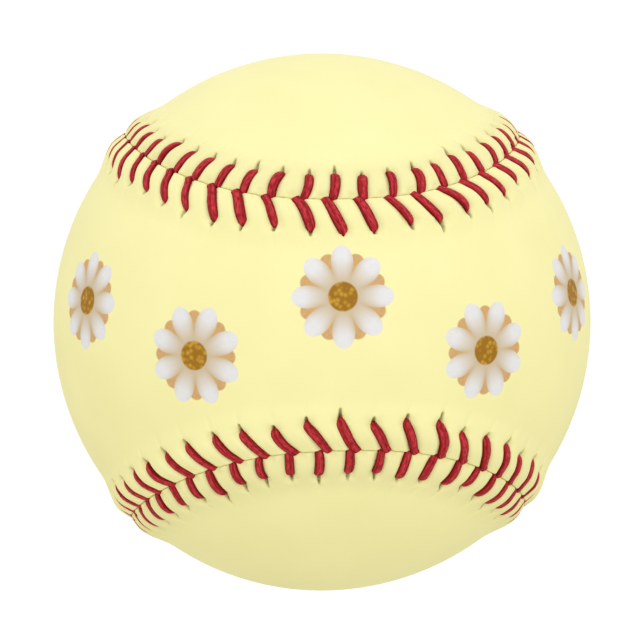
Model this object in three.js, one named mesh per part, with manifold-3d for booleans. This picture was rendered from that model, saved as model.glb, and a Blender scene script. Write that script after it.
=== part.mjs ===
// A baseball: a cushioned cork centre, four wound yarn layers, two leather covers and red seam stitching.
// Millimetres. The origin is the ball's centre, +Z is up, and the front cover's narrow waist faces -Y.
import * as THREE from "three";
import { mergeVertices } from "three/addons/utils/BufferGeometryUtils.js";
import Module from "manifold-3d";

// Clearances.
const FIT_GAP = 0.3; // between two pieces that touch on the real ball
const STITCH_GAP = 0.25; // between the thread and the leather it lies on or under
const HOLE_GAP = 0.16; // between the thread and the sides of its hole
const COVER_DIP = 0.4; // how far a cover's flat faces dip inside the true ball

// The leather covers.
const BALL_RADIUS = 36.9; // 9 1/8 in round the leather, away from the seam
const LEATHER_THICKNESS = 1.25;
const LIP_HEIGHT = 0.3; // how far the leather's edge stands above the ball
const RIDGE_HEIGHT = 0.55; // how far the raised seam stands above the ball
const RIDGE_CREST = 1.9; // from the seam line to the top of the raised seam
const RIDGE_END = 8.0; // from the seam line to where the leather lies flat on the ball
const REST_FLAT_DEPTH = 0.2; // how far the ball is flattened where it rests
const DOME_ROWS = 3; // rows of faces from the raised seam to the cover's middle line

// The seam line as angles on the ball, in radians, for a turn that runs from 0 to 4 pi.
const SEAM_SWING = 1.1919; // how far the seam swings to the front and to the back
const SEAM_SWING_THIRD = -0.0518; // a third, smaller wave that shapes the waist
const SEAM_WANDER = 0.3339; // how far the seam leads and lags as it goes round
const SPINE_REACH = 1.92; // how far a cover's middle line reaches into each round end

// The stitching.
const QUARTER_STITCHES = 27; // double stitches in a quarter of the seam
const THREAD_WIDTH = 1.1; // waxed thread pressed flat, where it shows
const THREAD_THICKNESS = 0.5;
const HIDDEN_WIDTH = 0.7; // the same thread squeezed in a hole and under the leather
const HIDDEN_THICKNESS = 0.4;
const THREAD_IN_HOLE = 3.75; // from the seam line to the thread in its hole
const HOLE_LENGTH = 2.4; // a stitch hole tapers away from the seam
const FRONT_LEAD = 1.45; // how far a front leg's foot lies ahead of its hole
const BACK_LEAD = 0.15; // the same for a leg on the back cover

// The windings, from the outside in. The inner grey one fills what is left round the centre.
const FINISHING_THICKNESS = 0.6;
const OUTER_GREY_THICKNESS = 2.2;
const WHITE_THICKNESS = 1.7;
const YARN_HOLE = 2.4; // the hole by which a yarn's end goes down into its layer
const WINDING_DETAIL = 3; // cuts along each edge of the twenty-sided ball that a winding starts from

// The cushioned cork centre.
const CORK_RADIUS = 10.32; // 13/16 in across
const CORK_DETAIL = 2;
const BLACK_RUBBER_THICKNESS = 3.97; // 5/32 in
const RED_RUBBER_THICKNESS = 2.38; // 3/32 in
const GASKET_THICKNESS = 0.8;
const CORE_SEGMENTS = 16; // flat faces round a rubber shell
const CORE_ROWS = 4; // rows of them from its rim to its pole

const FINISHES = {
  leather: { color: 0xfdf6bf, roughness: 0.55 },
  thread: { color: 0xb3202e, roughness: 0.6 },
  cork: { color: 0x9c7146, roughness: 0.9 },
  blackRubber: { color: 0x1c1c1d, roughness: 0.6 },
  redRubber: { color: 0xa32a24, roughness: 0.6 },
  greyWool: { color: 0x8c8a86, roughness: 0.95 },
  whiteWool: { color: 0xe9e5da, roughness: 0.95 },
  finishingYarn: { color: 0xf1ecdc, roughness: 0.9 },
};

const SAME_POINT = 1e-4; // corners closer than this are one corner
const SEAM_STEPS = 3000; // steps in which the seam line's length is measured
const FULL_TURN = 2 * Math.PI;
const QUARTER_TURN = Math.PI / 2;

const wasm = await Module();
wasm.setup();

// The closed seam line on a ball of radius 1. Its share t runs once round, from above the front waist's middle.
class SeamLine extends THREE.Curve {
  getPoint(t, target = new THREE.Vector3()) {
    const turn = 2 * FULL_TURN * t;
    const towardsFront = SEAM_SWING * Math.cos(turn) + SEAM_SWING_THIRD * Math.cos(3 * turn);
    const aroundWaist = turn / 2 + SEAM_WANDER * Math.sin(2 * turn);
    return target.set(
      Math.cos(towardsFront) * Math.sin(aroundWaist),
      -Math.sin(towardsFront),
      Math.cos(towardsFront) * Math.cos(aroundWaist),
    );
  }
}

const seamLine = new SeamLine();
seamLine.arcLengthDivisions = SEAM_STEPS;

const STITCH_COUNT = 4 * QUARTER_STITCHES;
const STITCH_PITCH = (seamLine.getLength() * BALL_RADIUS) / STITCH_COUNT;

// The thread passes down between the two covers' edges, and up through holes that start just short of it.
const SEAM_GAP = HIDDEN_THICKNESS + 2 * FIT_GAP;
const LEG_START = THREAD_IN_HOLE - THREAD_THICKNESS / 2;
const HOLE_START = LEG_START - FIT_GAP;
const HOLE_END = HOLE_START + HOLE_LENGTH;
const HOLE_TAPER = (HOLE_END - THREAD_IN_HOLE - HIDDEN_THICKNESS / 2) / HOLE_LENGTH;
const HOLE_WIDTH = (HIDDEN_WIDTH + 2 * HOLE_GAP) / HOLE_TAPER;
const FOOT_WIDTH = Math.min(THREAD_WIDTH, FRONT_LEAD - BACK_LEAD - FIT_GAP);

// Heights above the ball, for the leather's outer and inner faces and for the thread.
function outerHeight(across) {
  if (across <= RIDGE_CREST) {
    return THREE.MathUtils.mapLinear(across, SEAM_GAP / 2, RIDGE_CREST, LIP_HEIGHT, RIDGE_HEIGHT);
  }
  return THREE.MathUtils.mapLinear(across, RIDGE_CREST, RIDGE_END, RIDGE_HEIGHT, 0);
}

function innerHeight(across) {
  const lift = THREE.MathUtils.mapLinear(across, SEAM_GAP / 2, RIDGE_END, RIDGE_HEIGHT, 0);
  return lift - LEATHER_THICKNESS;
}

const LEG_BASE = outerHeight(LEG_START) + STITCH_GAP;
const FOOT_BASE = RIDGE_HEIGHT + STITCH_GAP;
const HIDDEN_TOP = innerHeight(THREAD_IN_HOLE) - STITCH_GAP;
const HIDDEN_BASE = HIDDEN_TOP - HIDDEN_THICKNESS;

// A point beside the seam. stitches counts along the seam, across is in mm from the seam line over the ball's
// surface, positive on the front cover, and height is in mm above the ball.
function besideSeam(stitches, across, height) {
  const share = THREE.MathUtils.euclideanModulo(stitches / STITCH_COUNT, 1);
  const outward = seamLine.getPointAt(share);
  const towardsFront = seamLine.getTangentAt(share).cross(outward);
  const angle = across / BALL_RADIUS;
  return outward
    .multiplyScalar(Math.cos(angle))
    .addScaledVector(towardsFront, Math.sin(angle))
    .setLength(BALL_RADIUS + height);
}

const outerPoint = (stitches, across) => besideSeam(stitches, across, outerHeight(across));
const innerPoint = (stitches, across) => besideSeam(stitches, across, innerHeight(across));

// A shape is a plain list of corners, three to a face, and a face with two equal corners is left out.
function addTriangle(faces, a, b, c) {
  const shortest = Math.min(a.distanceTo(b), b.distanceTo(c), c.distanceTo(a));
  if (shortest > SAME_POINT) faces.push(a, b, c);
}

function addQuad(faces, a, b, c, d) {
  addTriangle(faces, a, b, c);
  addTriangle(faces, a, c, d);
}

// A four-cornered face that isn't flat is folded along its shorter diagonal.
function addFoldedQuad(faces, a, b, c, d) {
  if (a.distanceTo(c) <= b.distanceTo(d)) addQuad(faces, a, b, c, d);
  else addQuad(faces, b, c, d, a);
}

function addTurnedOver(faces, others) {
  for (let i = 0; i < others.length; i += 3) faces.push(others[i], others[i + 2], others[i + 1]);
}

function geometryOf(faces) {
  return mergeVertices(new THREE.BufferGeometry().setFromPoints(faces), SAME_POINT);
}

// The three corners of a stitch hole: two at its wide end near the seam, and its tip.
function holeCorners(pointAt, stitch) {
  const half = HOLE_WIDTH / 2 / STITCH_PITCH;
  return [
    pointAt(stitch - half, HOLE_START),
    pointAt(stitch + half, HOLE_START),
    pointAt(stitch, HOLE_END),
  ];
}

// The stretch of leather round one stitch hole, from the row at nearSeam to the end of the raised seam.
function addHoleCell(faces, pointAt, stitch, nearSeam) {
  const [left, right, tip] = holeCorners(pointAt, stitch);
  const nearLeft = pointAt(stitch - 0.5, nearSeam);
  const nearRight = pointAt(stitch + 0.5, nearSeam);
  const farLeft = pointAt(stitch - 0.5, RIDGE_END);
  const farRight = pointAt(stitch + 0.5, RIDGE_END);
  addQuad(faces, nearLeft, left, right, nearRight);
  addQuad(faces, nearLeft, farLeft, tip, left);
  addQuad(faces, right, tip, farRight, nearRight);
  addTriangle(faces, tip, farLeft, farRight);
}

// A point on the cover's middle line, a great circle through the front waist and both round ends. Two places on
// the seam that face each other across the cover share one such point.
function spinePoint(stitch) {
  const half = STITCH_COUNT / 2;
  const fromWaist = THREE.MathUtils.euclideanModulo(stitch + half, STITCH_COUNT) - half;
  const beyond = Math.abs(fromWaist) > QUARTER_STITCHES;
  const folded = beyond ? Math.sign(fromWaist) * (half - Math.abs(fromWaist)) : fromWaist;
  const angle = SPINE_REACH * Math.sin((QUARTER_TURN * folded) / QUARTER_STITCHES);
  return new THREE.Vector3(Math.sin(angle), -Math.cos(angle), 0);
}

// The cover inside its raised seam: rows that run in from the ridge to the middle line, one column to two stitches.
function addDome(faces, pointAt, height) {
  const rowPoint = (stitch, row) =>
    besideSeam(stitch, RIDGE_END, height)
      .normalize()
      .lerp(spinePoint(stitch), row / DOME_ROWS)
      .setLength(BALL_RADIUS + height);
  for (let stitch = 1; stitch < STITCH_COUNT; stitch += 2) {
    const next = stitch + 2;
    const first = pointAt(stitch + 0.5, RIDGE_END);
    const second = pointAt(stitch + 1.5, RIDGE_END);
    addTriangle(faces, pointAt(stitch - 0.5, RIDGE_END), rowPoint(stitch, 1), first);
    addQuad(faces, first, rowPoint(stitch, 1), rowPoint(next, 1), second);
    for (let row = 1; row < DOME_ROWS; row += 1) {
      addQuad(
        faces,
        rowPoint(stitch, row),
        rowPoint(stitch, row + 1),
        rowPoint(next, row + 1),
        rowPoint(next, row),
      );
    }
  }
}

// One leather cover, with its raised edge and a row of stitch holes. Both covers are cut to this one shape.
function coverGeometry() {
  const faces = [];
  const inside = [];
  const edge = SEAM_GAP / 2;
  for (let stitch = 0; stitch < STITCH_COUNT; stitch += 1) {
    const before = stitch - 0.5;
    const after = stitch + 0.5;
    addQuad(
      faces,
      outerPoint(before, edge),
      outerPoint(before, RIDGE_CREST),
      outerPoint(after, RIDGE_CREST),
      outerPoint(after, edge),
    );
    addHoleCell(faces, outerPoint, stitch, RIDGE_CREST);
    addHoleCell(inside, innerPoint, stitch, edge);
    addQuad(
      faces,
      outerPoint(before, edge),
      outerPoint(after, edge),
      innerPoint(after, edge),
      innerPoint(before, edge),
    );
    const rim = holeCorners(outerPoint, stitch);
    const floor = holeCorners(innerPoint, stitch);
    rim.forEach((corner, i) => {
      const next = (i + 1) % rim.length;
      addQuad(faces, rim[next], corner, floor[i], floor[next]);
    });
  }
  addDome(faces, outerPoint, 0);
  addDome(inside, innerPoint, -LEATHER_THICKNESS);
  addTurnedOver(faces, inside);
  return geometryOf(faces);
}

// One ring of the thread: two corners side by side along the seam, and one ridge corner. side is 1 for a leg on
// the front cover and -1 for one on the back cover.
function threadRing(side, stitches, width, base, ridge) {
  const half = width / 2 / STITCH_PITCH;
  return {
    low: besideSeam(stitches - half, side * base.across, base.height),
    high: besideSeam(stitches + half, side * base.across, base.height),
    ridge: besideSeam(stitches, side * ridge.across, ridge.height),
  };
}

// The four rings of one leg: up through its hole, over the leather to the seam, and down between the covers.
function legRings(side, stitch) {
  const foot = stitch - (side > 0 ? FRONT_LEAD : BACK_LEAD) / STITCH_PITCH;
  const half = HIDDEN_THICKNESS / 2;
  return [
    threadRing(
      side,
      stitch,
      HIDDEN_WIDTH,
      { across: THREAD_IN_HOLE + half, height: HIDDEN_BASE },
      { across: THREAD_IN_HOLE - half, height: HIDDEN_TOP },
    ),
    threadRing(
      side,
      stitch,
      THREAD_WIDTH,
      { across: LEG_START, height: LEG_BASE },
      { across: LEG_START + THREAD_THICKNESS, height: LEG_BASE + THREAD_THICKNESS },
    ),
    threadRing(
      side,
      foot,
      FOOT_WIDTH,
      { across: half, height: FOOT_BASE },
      { across: -half, height: FOOT_BASE + THREAD_THICKNESS },
    ),
    threadRing(
      side,
      foot,
      HIDDEN_WIDTH,
      { across: half, height: HIDDEN_BASE },
      { across: -half, height: HIDDEN_TOP },
    ),
  ];
}

// One needle's thread, sewn once round the seam: a leg on one cover, then under the leather to a leg on the other.
// The thread turns over in each hole, so there the ridge corner and its neighbour trade places.
function threadGeometry(firstSide) {
  const faces = [];
  const rings = [];
  let order = firstSide > 0 ? ["ridge", "high", "low"] : ["high", "ridge", "low"];
  for (let leg = 0; leg < STITCH_COUNT; leg += 1) {
    const side = leg % 2 === 0 ? firstSide : -firstSide;
    const [inHole, ...onLeather] = legRings(side, STITCH_COUNT - 1 - leg);
    rings.push(order.map((corner) => inHole[corner]));
    order = [order[1], order[0], order[2]];
    onLeather.forEach((ring) => rings.push(order.map((corner) => ring[corner])));
  }
  rings.slice(1).forEach((ring, i) => {
    const before = rings[i];
    ring.forEach((corner, j) => {
      const next = (j + 1) % ring.length;
      addFoldedQuad(faces, before[next], before[j], corner, ring[next]);
    });
  });
  addTriangle(faces, ...rings[0]);
  addTriangle(faces, ...rings.at(-1).reverse());
  return geometryOf(faces);
}

// A ball of flat, nearly equal triangles, as a list of corners on a ball of radius 1.
function ballFaces(detail) {
  const position = new THREE.IcosahedronGeometry(1, detail).getAttribute("position");
  const corners = [];
  for (let i = 0; i < position.count; i += 1) {
    corners.push(new THREE.Vector3().fromBufferAttribute(position, i));
  }
  return corners;
}

// How far those flat faces dip inside the true ball, as a share of its radius.
function dipOf(corners) {
  const plane = new THREE.Plane();
  let nearest = 1;
  for (let i = 0; i < corners.length; i += 3) {
    plane.setFromCoplanarPoints(corners[i], corners[i + 1], corners[i + 2]);
    nearest = Math.min(nearest, Math.abs(plane.constant));
  }
  return 1 - nearest;
}

// A wound layer: a hollow ball with one small hole, where the yarn's end goes down into the layer.
function windingGeometry(corners, outerRadius, innerRadius) {
  const faces = [];
  const inside = [];
  const outer = (corner) => corner.clone().multiplyScalar(outerRadius);
  const inner = (corner) => corner.clone().multiplyScalar(innerRadius);
  for (let i = 3; i < corners.length; i += 3) {
    const face = corners.slice(i, i + 3);
    faces.push(...face.map(outer));
    inside.push(...face.map(inner));
  }
  const holed = corners.slice(0, 3);
  const middle = holed[0].clone().add(holed[1]).add(holed[2]).divideScalar(3);
  const share = YARN_HOLE / outerRadius / holed[0].distanceTo(holed[1]);
  const rim = holed.map((corner) => middle.clone().lerp(corner, share));
  holed.forEach((corner, i) => {
    const next = (i + 1) % holed.length;
    addQuad(faces, outer(corner), outer(holed[next]), outer(rim[next]), outer(rim[i]));
    addQuad(inside, inner(corner), inner(holed[next]), inner(rim[next]), inner(rim[i]));
    addQuad(faces, outer(rim[i]), outer(rim[next]), inner(rim[next]), inner(rim[i]));
  });
  addTurnedOver(faces, inside);
  return geometryOf(faces);
}

// Half of a hollow rubber ball, with its pole at +Z and its flat rim lifted above the middle.
function halfShellGeometry(outerRadius, innerRadius, rimHeight) {
  const arc = (radius) => {
    const start = Math.asin(rimHeight / radius);
    return Array.from({ length: CORE_ROWS + 1 }, (_, row) => {
      const angle = THREE.MathUtils.mapLinear(row, 0, CORE_ROWS, start, QUARTER_TURN);
      const distance = row === CORE_ROWS ? 0 : radius * Math.cos(angle);
      return new THREE.Vector2(distance, radius * Math.sin(angle));
    });
  };
  const profile = [...arc(innerRadius).reverse(), ...arc(outerRadius)];
  return new THREE.LatheGeometry(profile, CORE_SEGMENTS).rotateX(QUARTER_TURN);
}

// A flat washer round the Z axis.
function washerGeometry(outerRadius, innerRadius, thickness) {
  const half = thickness / 2;
  const profile = [
    new THREE.Vector2(innerRadius, -half),
    new THREE.Vector2(outerRadius, -half),
    new THREE.Vector2(outerRadius, half),
    new THREE.Vector2(innerRadius, half),
    new THREE.Vector2(innerRadius, -half),
  ];
  return new THREE.LatheGeometry(profile, CORE_SEGMENTS).rotateX(QUARTER_TURN);
}

function solidOf(geometry) {
  const positions = new THREE.BufferGeometry().setAttribute("position", geometry.getAttribute("position"));
  const merged = mergeVertices(positions.setIndex(geometry.index), SAME_POINT);
  return new wasm.Manifold(
    new wasm.Mesh({
      numProp: 3,
      vertProperties: merged.getAttribute("position").array,
      triVerts: new Uint32Array(merged.index.array),
    }),
  );
}

function geometryFromSolid(solid) {
  const mesh = solid.getMesh();
  return new THREE.BufferGeometry()
    .setAttribute("position", new THREE.BufferAttribute(mesh.vertProperties, 3))
    .setIndex(new THREE.BufferAttribute(mesh.triVerts, 1));
}

// The cover with its +X end pressed flat. Once the cover is turned, that is the face the ball rests on.
function flattenedCover(cover) {
  const size = 2 * BALL_RADIUS;
  const press = new THREE.BoxGeometry(size, size, size);
  press.translate(BALL_RADIUS - REST_FLAT_DEPTH + size / 2, 0, 0);
  return geometryFromSolid(solidOf(cover).subtract(solidOf(press)));
}

const ball = new THREE.Group();

function addPiece(name, geometry, finish) {
  const material = new THREE.MeshStandardMaterial({ ...finish, metalness: 0, flatShading: true });
  const piece = new THREE.Mesh(geometry, material);
  piece.name = name;
  ball.add(piece);
  return piece;
}

// Each layer of the centre is sized to go round the one inside it. Its flat faces dip, so it needs more room.
const shellDip = 1 - Math.cos(Math.PI / CORE_SEGMENTS) * Math.cos(QUARTER_TURN / 2 / CORE_ROWS);
const blackInnerRadius = (CORK_RADIUS + FIT_GAP) / (1 - shellDip);
const blackRadius = blackInnerRadius + BLACK_RUBBER_THICKNESS;
const redInnerRadius = (blackRadius + FIT_GAP) / (1 - shellDip);
const redRadius = redInnerRadius + RED_RUBBER_THICKNESS;

function addCentre() {
  const blackShell = halfShellGeometry(blackRadius, blackInnerRadius, GASKET_THICKNESS / 2 + FIT_GAP);
  const redShell = halfShellGeometry(redRadius, redInnerRadius, FIT_GAP / 2);
  const gasket = washerGeometry(blackRadius, blackInnerRadius, GASKET_THICKNESS);
  addPiece("cork_core", new THREE.IcosahedronGeometry(CORK_RADIUS, CORK_DETAIL), FINISHES.cork);
  addPiece("black_rubber_shell_upper", blackShell, FINISHES.blackRubber);
  addPiece("black_rubber_shell_lower", blackShell, FINISHES.blackRubber).rotateX(Math.PI);
  addPiece("rubber_gasket", gasket, FINISHES.redRubber);
  addPiece("red_rubber_shell_right", redShell, FINISHES.redRubber).rotateY(QUARTER_TURN);
  addPiece("red_rubber_shell_left", redShell, FINISHES.redRubber).rotateY(-QUARTER_TURN);
}

// The windings are sized from the outside in: the outermost clears the hidden thread and the leather.
function addWindings() {
  const corners = ballFaces(WINDING_DETAIL);
  const dip = dipOf(corners);
  const layerGap = FIT_GAP / (1 - dip);
  const finishingRadius =
    BALL_RADIUS - FIT_GAP + Math.min(HIDDEN_BASE - FIT_GAP / 4, -LEATHER_THICKNESS - COVER_DIP);
  const outerGreyRadius = finishingRadius - FINISHING_THICKNESS - layerGap;
  const whiteRadius = outerGreyRadius - OUTER_GREY_THICKNESS - layerGap;
  const innerGreyRadius = whiteRadius - WHITE_THICKNESS - layerGap;
  const centreRoom = (redRadius + FIT_GAP) / (1 - dip);
  const layers = [
    ["inner_grey_winding", innerGreyRadius, centreRoom, FINISHES.greyWool],
    ["white_winding", whiteRadius, whiteRadius - WHITE_THICKNESS, FINISHES.whiteWool],
    ["outer_grey_winding", outerGreyRadius, outerGreyRadius - OUTER_GREY_THICKNESS, FINISHES.greyWool],
    ["finishing_winding", finishingRadius, finishingRadius - FINISHING_THICKNESS, FINISHES.finishingYarn],
  ];
  for (const [name, outerRadius, innerRadius, finish] of layers) {
    addPiece(name, windingGeometry(corners, outerRadius, innerRadius), finish);
  }
}

// The back cover is the front one turned half round an axis between its two round ends.
function addCovers() {
  const cover = coverGeometry();
  const betweenEnds = new THREE.Vector3(1, 0, -1).normalize();
  addPiece("front_cover", cover, FINISHES.leather);
  addPiece("back_cover", flattenedCover(cover), FINISHES.leather).rotateOnAxis(betweenEnds, Math.PI);
}

function addStitching() {
  addPiece("first_needle_thread", threadGeometry(1), FINISHES.thread);
  addPiece("second_needle_thread", threadGeometry(-1), FINISHES.thread);
}

addCentre();
addWindings();
addCovers();
addStitching();

export default ball;
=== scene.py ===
import math

import bpy
import numpy as np
from mathutils import Euler, Matrix, Vector


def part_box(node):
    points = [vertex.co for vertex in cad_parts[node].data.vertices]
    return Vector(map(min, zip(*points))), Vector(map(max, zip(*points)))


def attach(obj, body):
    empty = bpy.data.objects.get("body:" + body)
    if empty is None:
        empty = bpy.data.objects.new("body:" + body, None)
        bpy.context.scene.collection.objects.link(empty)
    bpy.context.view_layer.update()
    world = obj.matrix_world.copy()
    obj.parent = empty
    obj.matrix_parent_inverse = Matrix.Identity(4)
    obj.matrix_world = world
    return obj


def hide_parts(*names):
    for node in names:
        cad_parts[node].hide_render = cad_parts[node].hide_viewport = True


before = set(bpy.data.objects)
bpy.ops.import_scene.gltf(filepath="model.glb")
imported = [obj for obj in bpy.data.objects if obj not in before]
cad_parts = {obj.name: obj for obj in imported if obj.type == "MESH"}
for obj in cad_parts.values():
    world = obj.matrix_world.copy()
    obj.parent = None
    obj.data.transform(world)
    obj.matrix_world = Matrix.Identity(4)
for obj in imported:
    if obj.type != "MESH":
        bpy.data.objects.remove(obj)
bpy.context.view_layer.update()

# A baseball in soft studio light: two pale yellow leather covers, sewn with red waxed thread.
# Shapes are worked out in millimetres, and turned into metres as they go into a mesh.
MM = 0.001

# The ball and its seam line, as in the part's own source.
BALL_RADIUS = 36.9
LEATHER_THICKNESS = 1.25
SEAM_SWING = 1.1919
SEAM_SWING_THIRD = -0.0518
SEAM_WANDER = 0.3339
SPINE_REACH = 1.92
STITCH_COUNT = 108
QUARTER_STITCHES = STITCH_COUNT / 4
SEAM_STEPS = 20000
REST_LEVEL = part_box("back_cover")[0].z / MM

# How far the stitches drift along the seam, as a share of a stitch, and in how many waves round it.
STITCH_DRIFT = 0.26
DRIFT_WAVES = 2

# The raised seam, as heights above the ball and distances from the seam line. The two rises are the
# shares of the ridge's height that each cover's crest comes to.
RIDGE_HEIGHT = 1.0
RIDGE_CREST = 2.0
RIDGE_END = 7.0
FRONT_RISE = 1.1
BACK_RISE = 1.0
SEAM_DIP = 0.24
LIP_GAP = 0.015
LIP_RADIUS = 0.32
FLAT_LEATHER = 8.0
INNER_LIFT = 0.5
UNEVENNESS = 0.03

# How the thread presses the leather into pads. Inside, outside and side are distances from a leg's
# middle line, fade is one beyond its hole, and the pocket's reach is one from the seam line.
PRESS_DEPTH = 0.55
PRESS_INSIDE = 0.34
PRESS_OUTSIDE = 1.25
PRESS_FADE = 1.5
POCKET_DEPTH = 0.38
POCKET_REACH = 0.45
POCKET_SIDE = 0.9

# The slit that shows behind each leg, and the dimple it lies in. Wall and start are shares of the
# slit's own half width and length, and taper and floor are the powers that its outline and its
# floor run out with. The dimple's spread is a distance squared.
SLIT_HALF_WIDTH = 0.42
SLIT_LEAST_HALF_WIDTH = 0.001
SLIT_LENGTH = 1.3
SLIT_UNDER = 0.35
SLIT_DEPTH = 0.75
SLIT_TAPER = 0.28
SLIT_FLOOR = 0.3
SLIT_WALL = 0.75
SLIT_START = 0.12
DIMPLE_DEPTH = 0.12
DIMPLE_BEYOND = 0.3
DIMPLE_SPREAD = 1.3

# The faint pucker beyond the slit. Start is a share of the slit's length, rise one of the pucker's.
PUCKER_DEPTH = 0.12
PUCKER_LENGTH = 2.8
PUCKER_WIDTH = 0.3
PUCKER_START = 0.7
PUCKER_RISE = 0.3

# A darker tone along the seam, where it fades out and how deep it is, and the painted shade in the
# seam.
SEAM_DARKENING_INSIDE = 3.0
SEAM_DARKENING_OUTSIDE = 6.5
FRONT_SEAM_DARKENING = 0.25
BACK_SEAM_DARKENING = 0.75
LIP_PAINTED_SHADE = 0.35

# The grid of a cover. The rows by the seam come in stretches, each with its end and its count.
STITCH_COLUMNS = 20
COLUMN_GATHER = 0.62
COARSE_STEP = 4
LIP_ROWS = 6
EDGE_STRETCHES = ((2.6, 8), (5.8, 18), (FLAT_LEATHER, 5))
DOME_ROWS = 18
INNER_EDGE_ROWS = (LIP_GAP, 2.0, 4.0, 6.0, FLAT_LEATHER)
INNER_DOME_ROWS = 6

# The thread. Feet, holes and the slip are places along the seam in stitches, the foot lifts are
# shares of the thread's thickness, the overlap and the sink's end are shares of a leg's reach, the
# hidden share is one of the thread's size, and other lengths are in millimetres.
THREAD_WIDTH = 1.18
THREAD_THICKNESS = 0.72
THREAD_SIDES = 12
SECTION_POWER = 0.85
HIDDEN_SHARE = 0.6
HIDDEN_DEPTH = -1.5
FRONT_FOOT = -0.4
FRONT_HOLE = 0.08
FRONT_REACH = 3.55
FRONT_FOOT_LIFT = 0.38
FRONT_FOOT_OVERLAP = 0.055
FRONT_FOOT_SLIP = -0.13
BACK_FOOT = -0.24
BACK_HOLE = -0.12
BACK_REACH = 3.3
BACK_FOOT_LIFT = -0.3
SHIFT_FADE_START = 5.0
SINK_END = 0.5

# A leg's rings, from the bottom of its hole to the bottom of the seam: how far out each lies as a
# share of the leg's reach, how far it is lifted as a share of the thread's thickness, its size,
# whether it is hidden under the leather, and how much of the foot it is.
RING_REACH = np.array([1.04, 1.04, 0.97, 0.8, 0.55, 0.3, 0.1, 0.0, 0.0])
RING_LIFT = np.array([0.0, -0.636, -0.096, 0.114, 0.194, 0.204, 0.114, -0.576, 0.0])
RING_SIZE = np.array([HIDDEN_SHARE, 0.85, 1.0, 1.08, 1.08, 1.02, 0.95, 0.88, HIDDEN_SHARE])
RING_HIDDEN = np.array([1, 0, 0, 0, 0, 0, 0, 0, 1], bool)
RING_FOOT = np.array([0, 0, 0, 0, 0, 0, 0.2, 1, 0])

# Each leg is a little different, as hand work is. These are the spreads of a leg's seven traits.
FOOT_SPREAD = 0.035
HOLE_SPREAD = 0.055
REACH_SPREAD = 0.28
WIDTH_SPREAD = 0.07
BOW_SPREAD = 0.05
SINK_SPREAD = 0.07
SLIT_SPREAD = 0.25
TRAIT_COUNT = 7
SPREAD_LIMIT = 1.8
FRONT_SEED = 11
BACK_SEED = 12

# The printed flowers. Their spacing, stagger and radius are angles seen from the ball's centre, and
# lengths inside a flower are shares of its radius.
FLOWERS_EACH_WAY = 2
FLOWER_SPACING = math.radians(30)
FLOWER_STAGGER = math.radians(5.5)
FLOWER_RADIUS = math.radians(10)
FLOWER_TURN = 0.35
PETAL_COUNT = 8
PETAL_POWER = 0.55
PETAL_NOTCH = 0.4
WHITE_REACH = 1.0
TAN_REACH = 0.88
MIDDLE_RADIUS = 0.3
MIDDLE_SOLID = 0.27
PRINT_SOFTNESS = 0.015

# Colours, as red, green, blue and alpha in linear light.
LEATHER_DEEP = (0.918, 0.866, 0.428, 1)
LEATHER_LIGHT = (0.945, 0.892, 0.45, 1)
# The leather's darker tone along the seam.
LEATHER_SEAM_DARK = (0.84, 0.79, 0.395, 1)
# The colour of the painted shade down in the slits and the seam's crevice.
LEATHER_PAINTED_SHADE = (0.13, 0.13, 0.06, 1)
# The thread's painted shade and painted highlight colours.
THREAD_PAINTED_SHADE = (0.2, 0.004, 0.005, 1)
THREAD_PAINTED_HIGHLIGHT = (0.65, 0.051, 0.066, 1)
WHITE_DEEP = (0.62, 0.5, 0.34, 1)
WHITE_LIGHT = (0.8, 0.8, 0.83, 1)
TAN_DEEP = (0.42, 0.22, 0.07, 1)
TAN_LIGHT = (0.72, 0.45, 0.2, 1)
GOLD_DEEP = (0.34, 0.16, 0.012, 1)
GOLD_LIGHT = (0.6, 0.34, 0.04, 1)
# The inner yarns' shaded and lit colours, for painted shade in the grooves between strands and painted
# light on their crowns.
GREY_WOOL_SHADED = (0.1, 0.095, 0.09, 1)
GREY_WOOL_LIT = (0.36, 0.345, 0.325, 1)
WHITE_WOOL_SHADED = (0.42, 0.39, 0.33, 1)
WHITE_WOOL_LIT = (0.85, 0.82, 0.74, 1)
FINISHING_YARN_SHADED = (0.5, 0.46, 0.37, 1)
FINISHING_YARN_LIT = (0.9, 0.86, 0.75, 1)
CORK_DEEP = (0.2, 0.09, 0.03, 1)
CORK_LIGHT = (0.44, 0.25, 0.11, 1)
CORK_SPECK = (0.04, 0.02, 0.01, 1)
BLACK_RUBBER = (0.011, 0.011, 0.012, 1)
BLACK_RUBBER_DUSTY = (0.05, 0.05, 0.052, 1)
RED_RUBBER = (0.33, 0.02, 0.015, 1)
RED_RUBBER_DUSTY = (0.45, 0.08, 0.06, 1)
WHITE = (1, 1, 1, 1)

# The painted highlight bands round the red thread, one over and one under each of its two strands,
# their twist in turns to a millimetre, and how the thread's fibres stretch.
STRAND_BANDS = 4
STRAND_TWIST = 0.012
FIBRE_STRETCH = (20, 1.4, 1)

# The widths of the inner yarns and how far they wobble, in metres.
YARN_WOBBLE = (0.0012, 0.0012, 0.0012)
GREY_WOOL_WIDTH = 0.0011
WHITE_WOOL_WIDTH = 0.0009
FINISHING_YARN_WIDTH = 0.0005

# The Mix node has sockets of each kind, and these are the numbers of those that mix two colours.
MIX_SHARE = 0
MIX_FIRST = 6
MIX_SECOND = 7
MIX_RESULT = 2

# The camera, nine ball radii away, and the ball's small turn in the photo.
CAMERA_DISTANCE = 9 * BALL_RADIUS * MM
CAMERA_LENS = 134.25
CAMERA_SENSOR = 36.0
CAMERA_NEAREST = 0.01
CAMERA_FARTHEST = 20
BALL_TURN = Euler((0.0108, -0.0169, 0.072), "XYZ")

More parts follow.
